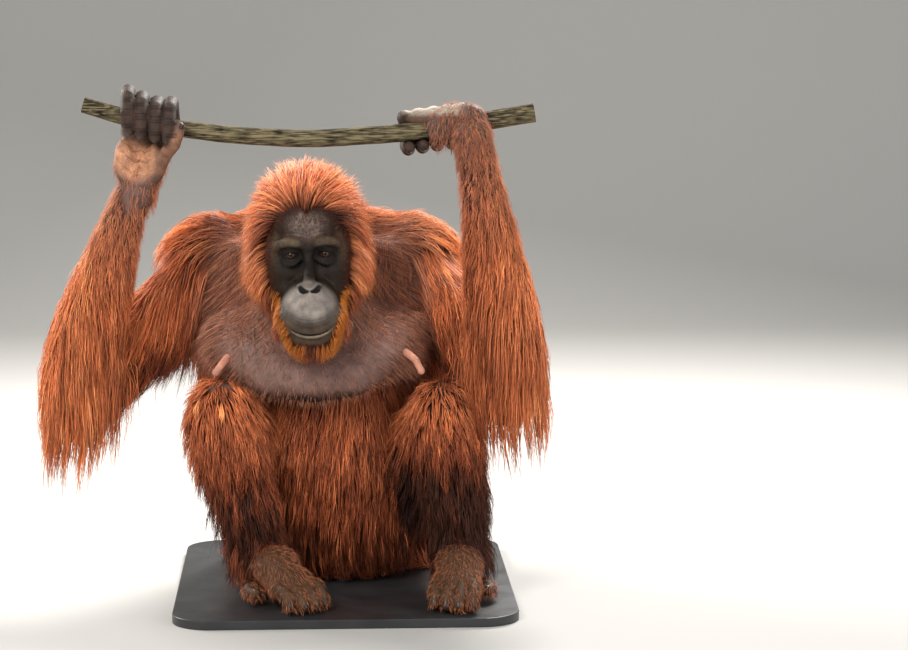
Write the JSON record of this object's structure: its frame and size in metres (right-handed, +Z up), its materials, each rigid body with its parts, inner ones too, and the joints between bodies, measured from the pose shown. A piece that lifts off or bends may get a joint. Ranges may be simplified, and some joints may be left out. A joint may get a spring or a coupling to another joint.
{
  "type": "orangutan",
  "caption": "Seated long-haired orangutan, knees drawn up and both raised hands gripping a vine, as a still life-size figure on a plain display stand.",
  "frame": {"origin": "on the flat underside of the display stand's base, below the body's midline and below a line a little in front of the hips", "axes": "+Z up, +X towards the animal's left side, -Y the way the animal faces"},
  "size_m": [0.7958, 0.6, 0.803],
  "materials": {
    "coat": "long rust-red hair",
    "coat_dark": "shorter dark red-brown hair",
    "face": "bare, wrinkled, dark grey-brown skin",
    "skin": "bare grey-brown skin, wrinkled on the hands",
    "nipple": "smooth peach-pink skin",
    "eye": "wet and glossy, dark brown",
    "bark": "rough grey-brown bark",
    "stand": "matt black"
  },
  "bodies": {
    "root": {"beard": "coat", "big_toe_left": "coat_dark", "big_toe_right": "coat_dark", "breast_left": "skin", "breast_right": "skin", "ear_left": "skin", "ear_right": "skin", "eye_left": "eye", "eye_right": "eye", "face": "face", "finger_left_1": "skin", "finger_left_2": "skin", "finger_left_3": "skin", "finger_left_4": "skin", "finger_right_1": "skin", "finger_right_2": "skin", "finger_right_3": "skin", "finger_right_4": "skin", "foot_left": "coat_dark", "foot_right": "coat_dark", "forearm_left": "coat", "forearm_right": "coat", "head": "coat", "jaw": "face", "neck": "coat_dark", "nipple_left": "nipple", "nipple_right": "nipple", "palm_left": "skin", "palm_right": "skin", "shin_left": "coat", "shin_right": "coat", "stand_base": "stand", "stand_rod": "stand", "thigh_left": "coat", "thigh_right": "coat", "throat_pouch": "skin", "thumb_left": "skin", "thumb_right": "skin", "toe_left_1": "coat_dark", "toe_left_2": "coat_dark", "toe_left_3": "coat_dark", "toe_left_4": "coat_dark", "toe_right_1": "coat_dark", "toe_right_2": "coat_dark", "toe_right_3": "coat_dark", "toe_right_4": "coat_dark", "torso": "coat", "upper_arm_left": "coat", "upper_arm_right": "coat", "vine": "bark"}
  },
  "joints": []
}
